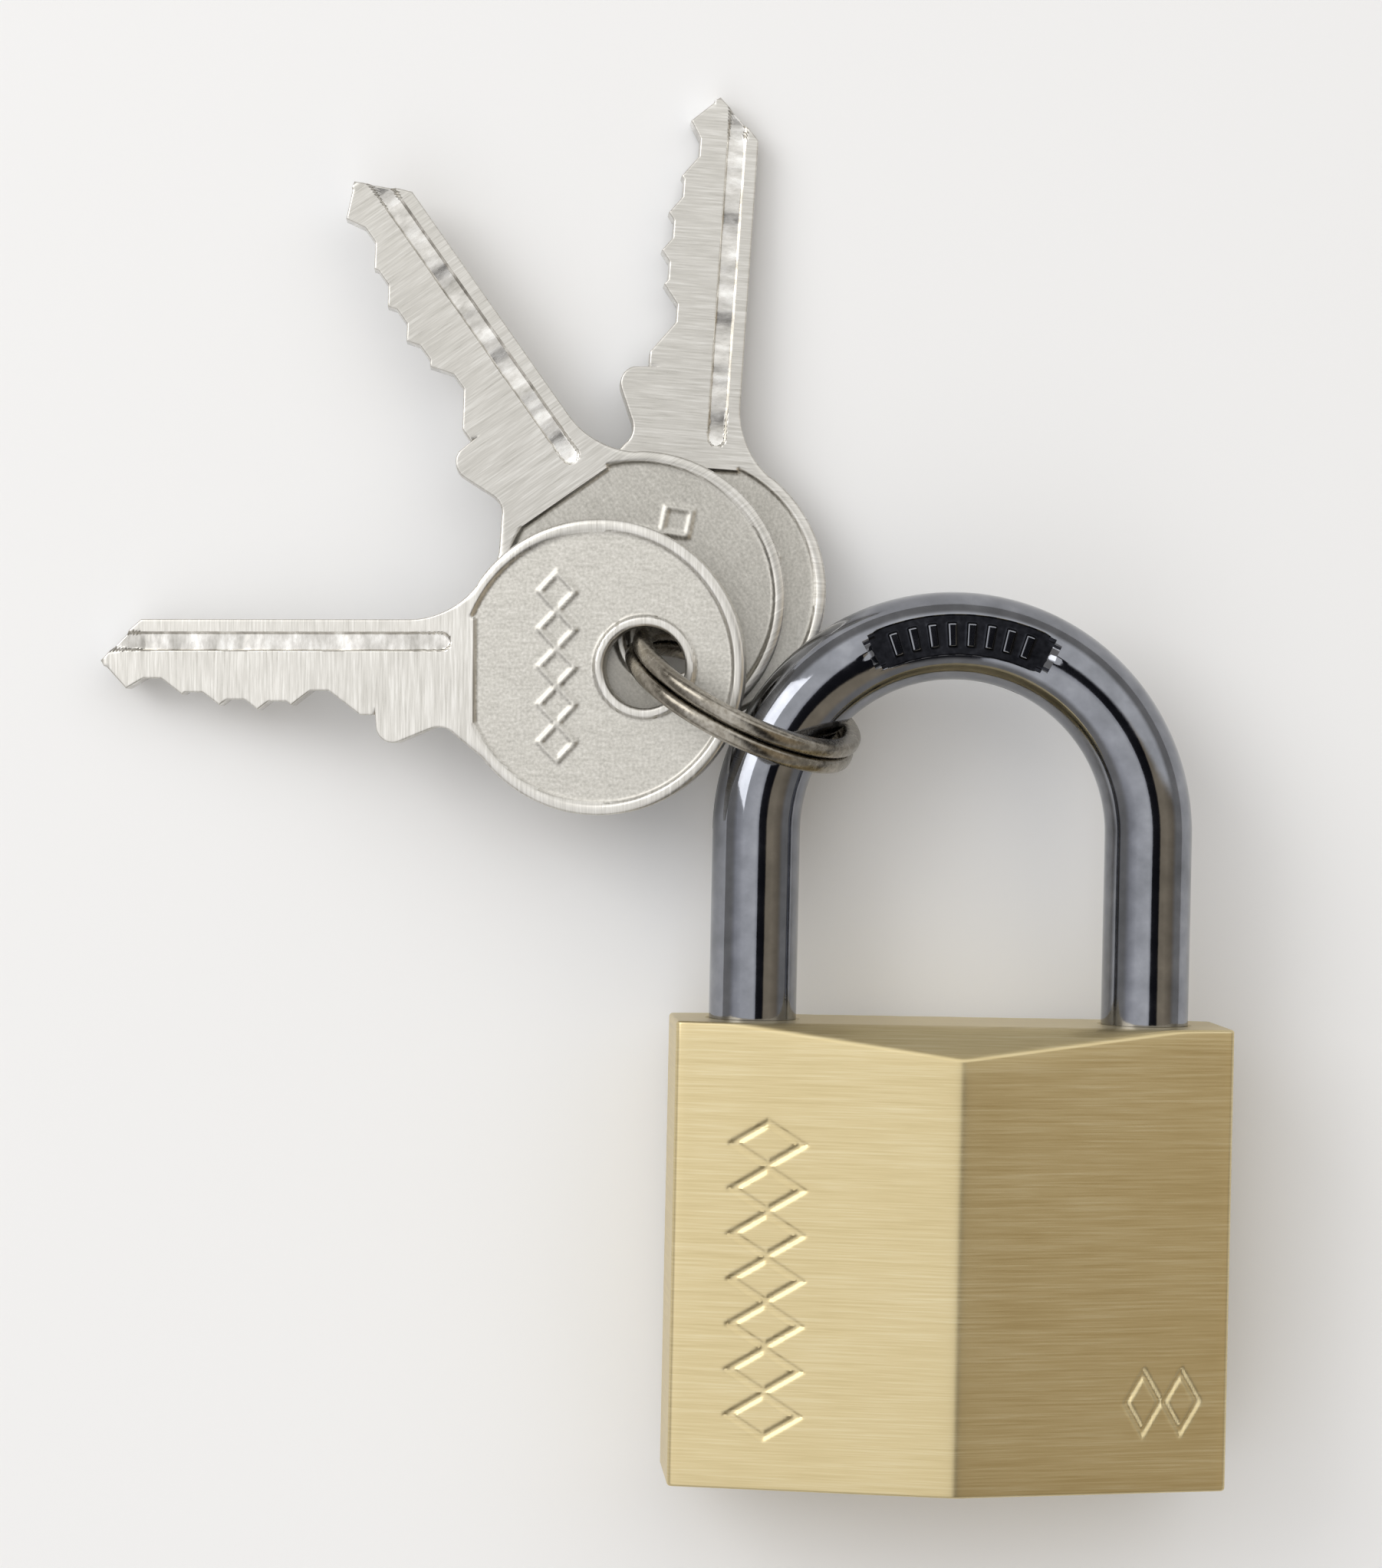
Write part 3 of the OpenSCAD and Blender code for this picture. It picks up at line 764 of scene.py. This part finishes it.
start = math.radians(-50)
wind = np.linspace(start, start + 4 * math.pi - step_turn - 0.06, 560)
layer = turn_pitch * (0.5 - smooth_step(start + 2 * math.pi - step_turn, start + 2 * math.pi, wind))
section_turn = np.linspace(0, 2 * math.pi, 33)
section_turn[-1] = 0
power = 0.72
section_out = wire_out / 2 * np.sign(np.cos(section_turn)) * np.abs(np.cos(section_turn)) ** power
section_up = wire_wide / 2 * np.sign(np.sin(section_turn)) * np.abs(np.sin(section_turn)) ** power
from_end = np.minimum(wind - wind[0], wind[-1] - wind) * ring_r
swell = np.sqrt(np.clip(1 - (1 - np.clip(from_end / 0.25, 0, 1)) ** 2, 0, 1))[:, None]
reach = ring_r + swell * section_out
wire = np.stack(
    [
        reach * np.cos(wind)[:, None],
        reach * np.sin(wind)[:, None],
        layer[:, None] + swell * section_up,
    ],
    -1,
)
wire = wire @ turned_by.T + ring_centre
wire_map = np.stack(np.broadcast_arrays((wind * ring_r)[:, None], section_turn), -1)
split_ring = make_piece("split_ring_wire", [(wire, wire_map)], sharp=60)
split_ring.data.materials.append(dull_nickel)
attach(split_ring, "ring")
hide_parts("split_ring")

# %% [markdown]
# ## The keys
# A key is pressed from sheet brass, cut and plated: a round head with a rolled rim and a sunk
# field, a boss round the hole, and a blade with a milled groove and a cut edge. At each place
# along the key it spans one stretch across, from a lower edge to an upper edge. So both faces can
# be grids between those edges, split at the hole, and everything pressed or milled into a face is
# one function of the place on it. A wall joins the two faces all round and another lines the hole.

# %% Outline of a key
head_x, head_r, hole_r = 3.4, 10.6, 2.95
head_end, neck_start = 10.8, 12.09
back_y, land_y, shoulder_x, tip_x = -3.4, 3.5, 19.5, 39.9
cut_x = shoulder_x + 4.15 + 3.1 * np.arange(5)
cut_y = back_y + np.array([5.15, 5.94, 5.82, 5.30, 4.30])
flat_half, flank = 0.65, 0.75
neck_x, neck_r = 17.126, 6.2


def arc_points(centre, radius, start, end, count):
    """Points of an arc, by its centre, radius and two angles in degrees."""
    t = np.radians(np.linspace(start, end, count))
    return np.stack([centre[0] + radius * np.cos(t), centre[1] + radius * np.sin(t)], -1)


def cut_edge():
    """Corners of the bitting: flat bottoms, and peaks where the flanks of two cuts meet."""
    rise = (land_y - cut_y[0]) / flank
    peak_x = (np.diff(cut_y) / flank + cut_x[:-1] + cut_x[1:]) / 2
    peak_y = cut_y[:-1] + flank * (peak_x - cut_x[:-1] - flat_half)
    flats = np.stack([cut_x - flat_half, cut_y, cut_x + flat_half, cut_y], -1).reshape(5, 2, 2)
    peaks = np.concatenate([np.stack([peak_x, peak_y], -1), [[tip_x - 1.9, 1.65]]])
    corners = np.concatenate([flats, peaks[:, None, :]], 1).reshape(-1, 2)
    return np.concatenate([[[cut_x[0] - flat_half - rise, land_y]], corners, [[tip_x, -0.4]]])


upper_line = np.concatenate(
    [
        [[head_end, 7.3]],
        arc_points((14.9, 5.85), 1.5, -140, -70, 7),
        arc_points((18.25, 4.2), 1.3, 110, 20, 9),
        [[shoulder_x + 0.05, land_y]],
        cut_edge(),
    ]
)
lower_line = np.array([[neck_x, back_y], [tip_x - 3, back_y], [tip_x - 2.2, back_y + 0.7], [tip_x, -0.4]])


def head_edge(x):
    """Half height of the round head at a place along the key, and 0 past it."""
    return np.sqrt(np.maximum(head_r**2 - (x - head_x) ** 2, 0))


def upper_edge(x):
    """Upper edge: the head or the blade, whichever stands higher."""
    return np.where(x < head_end, head_edge(x), np.maximum(head_edge(x), np.interp(x, *upper_line.T)))


def lower_edge(x):
    """Lower edge: the head, the hollow curve of the neck, then the straight back and the tip."""
    hollow = back_y - neck_r + np.sqrt(np.maximum(neck_r**2 - (x - neck_x) ** 2, 0))
    curve = np.where(x < neck_start, -head_edge(x), hollow)
    return np.where(x < neck_x, curve, np.interp(x, *lower_line.T))


# %% [markdown]
# ## What is pressed and milled into a key
# The rim stands a quarter of a millimetre over the field and is rounded on its outside. The flat
# of the blade runs into the head and stops at a line with a clipped corner. Five small raised
# lozenges stand in a column on the field. The groove is milled into the upper face only; its
# floor was left wavy by the cutter, which is what makes it flash bright and dark.

# %% Relief of a key
# Half the sheet at the sunk field, and how far the rim and the marks stand over the field.
field_half, rim_high, mark_high = 0.65, 0.25, 0.14
# Where rim and boss fall to the field, measured inwards from the rim and outwards from the hole.
rim_fall, boss_fall = (0.62, 1.02), (0.55, 0.85)
land_x, land_clip, clip_lean = 12.2, 3.5, 0.7071
# Radius and drop of the rounded edges of the head, of the blade and of the hole.
head_round, blade_round, hole_round = (0.5, 0.2), (0.14, 0.13), (0.3, 0.16)
key_marks = np.stack([np.full(5, 6.3), 2.7 * (np.arange(5) - 2)], -1)
groove_y, groove_half, groove_start, groove_deep, groove_flank = -1.8, 0.7, 14.0, 0.42, 0.16
# Height, turns per millimetre in radians and starting angle of each wave in the groove's floor.
groove_waves = ((0.05, 0.9, 0), (0.035, 1.7, 1), (0.006, 5.1, 2))


def rounded(distance, radius, drop):
    """Fall of a surface at a distance from its rounded edge: drop * (1 - sqrt(1 - near2))."""
    near = np.clip(1 - distance / radius, 0, 1)
    return drop * (1 - np.sqrt(1 - near * near))


def slope(edge, x, step=0.05):
    """Slope of an edge line at a place along the key, from the heights one step to each side."""
    return (edge(x + step) - edge(x - step)) / (2 * step)


def key_height(x, y, milled):
    """Height of a face over the middle of the sheet at a place on it, in millimetres."""
    from_rim = head_r - np.hypot(x - head_x, y)
    from_hole = np.hypot(x, y) - hole_r
    across = np.minimum(
        (upper_edge(x) - y) / np.sqrt(1 + slope(upper_edge, x) ** 2),
        (y - lower_edge(x)) / np.sqrt(1 + slope(lower_edge, x) ** 2),
    )
    from_edge = np.maximum(np.where(x < head_end, from_rim, across), 0)
    clipped = np.minimum(x - land_x, (x - land_x + y + land_clip) * clip_lean)
    land = np.maximum(smooth_step(0, 0.2, clipped), 1 - smooth_step(0, 0.15, from_rim))
    rim, boss = 1 - smooth_step(*rim_fall, from_rim), 1 - smooth_step(*boss_fall, from_hole)
    height = field_half + rim_high * np.maximum(np.maximum(land, rim), boss)
    marks = lozenges(x, y, key_marks, 1.3, 1.35, 0.28) * (from_rim > 1.1) * (from_hole > 0.9)
    height = np.maximum(height, field_half + mark_high * marks)
    blade_share = smooth_step(11, 15, x)
    radius, drop = (h + (b - h) * blade_share for h, b in zip(head_round, blade_round))
    height = height - rounded(from_edge, radius, drop) - rounded(from_hole, *hole_round)
    if milled:
        before_end = np.minimum(x - groove_start - groove_half, 0)
        sides = groove_half - np.hypot(before_end, y - groove_y)
        wave = sum(size * np.sin(x * turns + begin) for size, turns, begin in groove_waves)
        in_groove = smooth_step(0, groove_flank, sides) * (x > groove_start)
        height = height - (groove_deep + wave) * in_groove
    return height


# %% [markdown]
# ## Two faces and a wall
# Columns of the grid stand along the key, closer at the head, at the hole and at each corner of
# the outline. The hole splits the rows: the upper half runs from the hole or the middle line to
# the upper edge, the lower half from there to the lower edge.

# %% A key from its grids
first_x = head_x - head_r
columns = np.concatenate(
    [
        head_x - head_r * np.cos(np.radians(np.linspace(0, 40, 30))),
        np.arange(-4.6, 14.6, 0.135),
        np.arange(14.6, tip_x, 0.23),
        hole_r * np.cos(np.radians(np.linspace(0, 180, 49))),
        upper_line[:, 0],
        lower_line[:, 0],
        cut_x,
    ]
)
columns = np.unique(np.round(columns[(columns >= first_x) & (columns <= tip_x)], 3))
columns = np.unique(np.concatenate([[first_x], columns[columns > first_x + 0.01], [tip_x]]))
rows = np.unique(np.concatenate([np.linspace(0, 1, 58), 1 - np.array([0.004, 0.01, 0.022, 0.035])]))
in_hole = np.abs(columns) <= hole_r


def key_grids():
    """The grids of one key in its own frame: four half faces, two outer walls, two hole walls."""
    low, high = lower_edge(columns), upper_edge(columns)
    low[[0, -1]] = high[[0, -1]] = [0, -0.4]
    hole = np.sqrt(np.maximum(hole_r**2 - columns**2, 0))
    middle = np.clip(0, low, high)
    grids = []
    for edge, half_hole in ((high, hole), (low, -hole)):
        inner = np.where(in_hole, half_hole, middle)
        y = inner + rows[:, None] * (edge - inner)
        x = np.broadcast_to(columns, y.shape)
        top, bottom = key_height(x, y, True), -key_height(x, y, False)
        for z in (top, bottom):
            grids.append((np.stack([x, y, z], -1), np.stack([x, y], -1)))
        for row, keep in ((-1, slice(None)), (0, in_hole)):
            drop = np.linspace(0, 1, 4)[:, None]
            z = top[row, keep] + drop * (bottom - top)[row, keep]
            wall_x, wall_y = np.broadcast_to(x[row, keep], z.shape), np.broadcast_to(y[row, keep], z.shape)
            grids.append((np.stack([wall_x, wall_y, z], -1), np.stack([wall_x + wall_y, z], -1)))
    return grids


def key_frame(place):
    """Rotation whose columns are the key's length, height and thickness, and its hole's centre."""
    centre, heading, fall = place
    turn_key = Euler((0, math.radians(fall), math.radians(heading)), "XYZ").to_matrix()
    return np.array(turn_key), np.array(centre)


def key_faces(frame_of):
    """Chooser for a key: 1 on the sunk fields, 2 in the groove and on the cut edge, 0 elsewhere."""
    turn_key, centre = frame_of

    def choose(middles, normals):
        x, y, z = ((middles - centre) @ turn_key).T
        flat = np.abs((normals @ turn_key)[:, 2])
        low = (np.abs(z) < field_half + 0.15) & (flat > 0.6) & (x < land_x + 1)
        inside = (head_r - np.hypot(x - head_x, y) > 0.85) & (np.hypot(x, y) > hole_r + 0.75)
        field = low & inside
        in_groove = (x > groove_start) & (np.abs(y - groove_y) < groove_half + 0.02)
        groove = in_groove & (z > 0) & (z < 0.84) & (flat > 0.3)
        edge = (flat < 0.5) & (x > shoulder_x + 1.1) & (y > back_y + 0.8)
        return np.where(field, 1, np.where(groove | edge, 2, 0))

    return choose


key_places = {
    "key_1": ((-22.52, 58.04, 1.05), 180.9, 11.0),
    "key_2": ((-20.94, 60.42, -2.55), 126.1, 3.2),
    "key_3": ((-19.94, 60.47, -4.6), 87.0, 4.25),
}
blank = key_grids()
for number, (node, place) in enumerate(key_places.items(), 1):
    turn_key, centre = key_frame(place)
    placed = [(points @ turn_key.T + centre, flat_map + 70 * number) for points, flat_map in blank]
    key = make_piece(f"key_{number}_blank", placed, sharp=40)
    counts = paint(key, [ground_nickel, blasted_nickel, cut_nickel], key_faces((turn_key, centre)))
    print(key.name, "faces plain, field, cut:", counts)
    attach(key, f"key_{number}_body")
    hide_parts(node)

# %% [markdown]
# ## The mechanism
# Everything inside keeps its CAD shape, which is already right: turned pins, coil springs, the
# plug with its keyway. They get the finish that each is made with. The plug's face and the
# plugged chambers show on the outside of the lock, the rest when it is taken apart.

# %% Finishes of the CAD nodes
finishes = {"plug": turned_brass, "chamber_caps": turned_brass, "bolt_bore_cap": turned_brass}
finishes |= {"cam": turned_steel, "plug_retaining_pin": turned_steel, "shackle_stop_pin": turned_steel}
finishes |= {"bolt_left": turned_steel, "bolt_right": turned_steel, "shackle_spring": spring_wire}
for k in range(1, 6):
    finishes[f"key_pin_{k}"] = turned_brass
    finishes[f"driver_pin_{k}"] = turned_steel
    finishes[f"pin_spring_{k}"] = spring_wire
for node, material in finishes.items():
    nodes[node].data.materials.clear()
    nodes[node].data.materials.append(material)
print("CAD nodes with their own finish:", len(finishes))

# %% [markdown]
# ## Table, light and surroundings
# The table is a plain white sheet under the lock's back ridge. The light is a big soft tent:
# white on the left, dimmer and warmer on the right, with a dark slot a little right of overhead.
# Polished metal shows that tent, so the slot becomes the dark line down each leg. Towards the far
# end the slot is covered in white, so that what leans that way, like the keys, stays bright.

# %% Table and light
floor_z = -ridge_z - 0.03
table_half = 3.0  # metres
corners = np.array([[-1, -1, 0], [1, -1, 0], [1, 1, 0], [-1, 1, 0]])
table_top = corners * table_half + [0, 0, floor_z * MM]
table_mesh = bpy.data.meshes.new("table")
table_mesh.from_pydata(table_top.tolist(), [], [(0, 1, 2, 3)])
table = new_object("table", table_mesh)
paper, paper_tree, paper_surface = new_material("white_paper_sheet")
paper_surface.inputs["Metallic"].default_value = 0.0
paper_surface.inputs["Base Color"].default_value = linear("#f6f6f6")
paper_surface.inputs["Roughness"].default_value = 0.9
table_mesh.materials.append(paper)


def area_light(name, place, aim, size, watts):
    """A square, white, soft light at a place, turned towards a point; places in millimetres."""
    lamp = bpy.data.lights.new(name, "AREA")
    lamp.size = size * MM
    lamp.energy = watts
    made = bpy.data.objects.new(name, lamp)
    bpy.context.scene.collection.objects.link(made)
    made.location = Vector(place) * MM
    way = Vector(aim) - Vector(place)
    made.rotation_euler = way.to_track_quat("-Z", "Y").to_euler()


area_light("key light", (-520, 330, 420), (-15, 45, 0), 420, 1.5)

world = bpy.data.worlds.new("tent")
bpy.context.scene.world = world
world.use_nodes = True
sky = world.node_tree
sky.nodes.clear()
way = add(sky, "ShaderNodeTexCoord").outputs["Generated"]
parts = add(sky, "ShaderNodeSeparateXYZ", links={"Vector": way})
side_way = add(sky, "ShaderNodeMapRange", {"From Min": -1.0}, {"Value": parts.outputs["X"]})
tent_stops = [
    (0.0, "#a2a2a8"),
    (0.2, "#f6f6f8"),
    (0.46, "#ffffff"),
    (0.51, "#dadade"),
    (0.52, "#28282c"),
    (0.68, "#1e1e22"),
    (0.7, "#b0a38d"),
    (0.82, "#b8aa93"),
    (1.0, "#7d7263"),
]
tent = ramp(sky, side_way.outputs[0], tent_stops)
past_slot = add(
    sky,
    "ShaderNodeMapRange",
    {"interpolation_type": "SMOOTHSTEP", "From Min": 0.1, "From Max": 0.21},
    {"Value": parts.outputs["Y"]},
)
cover = add(
    sky, "ShaderNodeMix", {"data_type": "RGBA", 7: linear("#ffffff")}, {0: past_slot.outputs[0], 6: tent}
)
high = add(
    sky,
    "ShaderNodeMapRange",
    {"interpolation_type": "SMOOTHSTEP", "From Min": 0.3, "From Max": 0.55},
    {"Value": parts.outputs["Z"]},
)
# Low down, near the horizon and under it, there is only the room's grey.
mix = add(
    sky,
    "ShaderNodeMix",
    {"data_type": "RGBA", 6: linear("#a09e9b")},
    {0: high.outputs[0], 7: cover.outputs[2]},
)
glow = add(sky, "ShaderNodeBackground", {"Strength": 1.18}, {"Color": mix.outputs[2]})
add(sky, "ShaderNodeOutputWorld", links={"Surface": glow.outputs["Background"]})
bpy.context.scene.view_settings.view_transform = "Standard"
